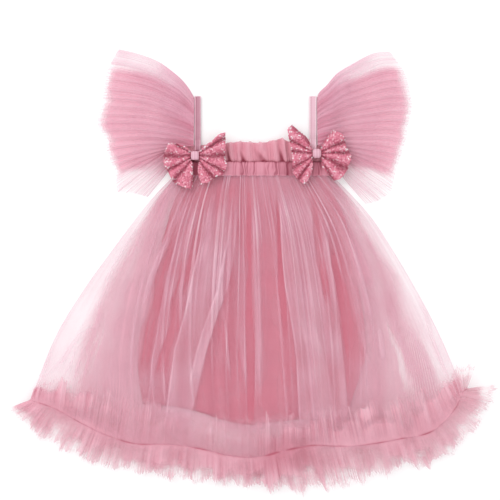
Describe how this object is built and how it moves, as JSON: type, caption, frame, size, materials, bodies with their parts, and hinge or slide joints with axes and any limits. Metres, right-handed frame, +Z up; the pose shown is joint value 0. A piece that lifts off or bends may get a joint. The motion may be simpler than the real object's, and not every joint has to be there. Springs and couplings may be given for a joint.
{
  "type": "toddler party dress",
  "caption": "Toddler dress in layered tulle with shoulder straps, pleated flutter sleeves, a gathered elastic top, sequin bows and a ruffled hem, laid flat, front up.",
  "frame": {"origin": "on the surface that the dress lies on, under the middle of its box", "axes": "+X to the right as the front is seen, +Y towards the neck, +Z up out of the front"},
  "size_m": [0.5972, 0.5534, 0.0259],
  "materials": {
    "tulle_sheer": "matte sheer net",
    "tulle_dense": "matte net, several layers deep",
    "tulle_ruffle": "matte net with raw edges",
    "lining": "smooth woven cloth",
    "elastic": "gathered tulle over elastic",
    "satin": "satin ribbon",
    "sequin_cloth": "glossy sequins on net"
  },
  "bodies": {
    "root": {"skirt_outer_back": "tulle_sheer", "skirt_inner_back": "tulle_dense", "skirt_lining_back": "lining", "skirt_lining_front": "lining", "skirt_inner_front": "tulle_dense", "skirt_outer_front": "tulle_sheer", "hem_ruffle_back": "tulle_ruffle", "hem_ruffle_front": "tulle_ruffle", "band_back": "elastic", "band_front": "elastic", "neck_frill_back": "tulle_dense", "neck_frill_front": "tulle_dense", "strap_left": "satin", "strap_right": "satin", "sleeve_left_inner": "tulle_dense", "sleeve_left_outer": "tulle_sheer", "sleeve_right_inner": "tulle_dense", "sleeve_right_outer": "tulle_sheer", "bow_left_wing_left": "sequin_cloth", "bow_left_wing_right": "sequin_cloth", "bow_left_knot": "satin", "bow_right_wing_left": "sequin_cloth", "bow_right_wing_right": "sequin_cloth", "bow_right_knot": "satin"}
  },
  "joints": []
}
